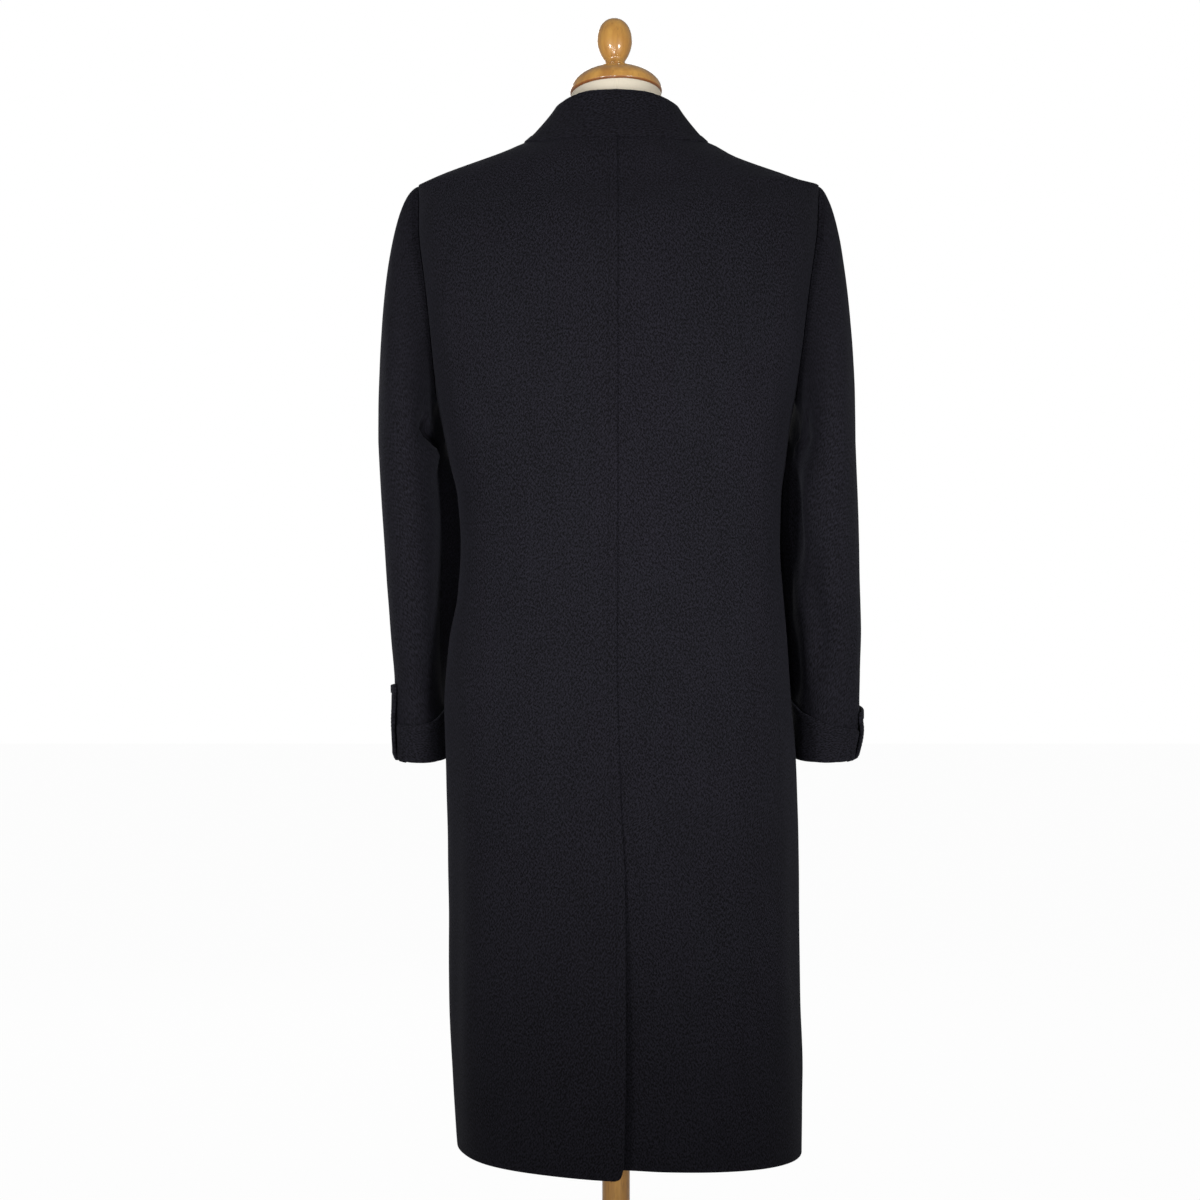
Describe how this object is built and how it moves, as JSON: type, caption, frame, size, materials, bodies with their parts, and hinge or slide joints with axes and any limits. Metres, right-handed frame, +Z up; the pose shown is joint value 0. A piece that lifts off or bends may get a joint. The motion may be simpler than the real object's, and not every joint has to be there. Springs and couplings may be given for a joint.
{
  "type": "long wool overcoat on a limbless tailor's dress form and stand",
  "caption": "Long fitted wool overcoat with notch lapels, turned-back cuffs and a centre-back vent, on a limbless calico dress form with a wooden neck cap, knob, pole and round foot.",
  "frame": {"origin": "centre of the round foot's flat underside, on the floor", "axes": "+Z up along the pole, -Y towards the front of the coat, +X towards the wearer's left"},
  "size_m": [0.5649, 0.4, 1.5964],
  "materials": {
    "navy_wool": "fine twill wool with a short nap, matt",
    "cream_calico": "plain calico, tightly stretched, matt",
    "honey_beech": "turned beech, clear gloss varnish",
    "dark_horn": "polished dark horn"
  },
  "bodies": {
    "root": {"back_left": "navy_wool", "back_right": "navy_wool", "front_left": "navy_wool", "front_left_skirt": "navy_wool", "front_right": "navy_wool", "lapel_left": "navy_wool", "lapel_right": "navy_wool", "sleeve_top_left": "navy_wool", "sleeve_top_left_forearm": "navy_wool", "sleeve_under_left": "navy_wool", "sleeve_top_right": "navy_wool", "sleeve_top_right_forearm": "navy_wool", "sleeve_under_right": "navy_wool", "cuff_left": "navy_wool", "cuff_right": "navy_wool", "collar": "navy_wool", "button_1": "dark_horn", "button_2": "dark_horn", "button_3": "dark_horn", "bust": "cream_calico", "neck_cap": "honey_beech", "finial": "honey_beech", "pole": "honey_beech", "foot": "honey_beech"}
  },
  "joints": []
}
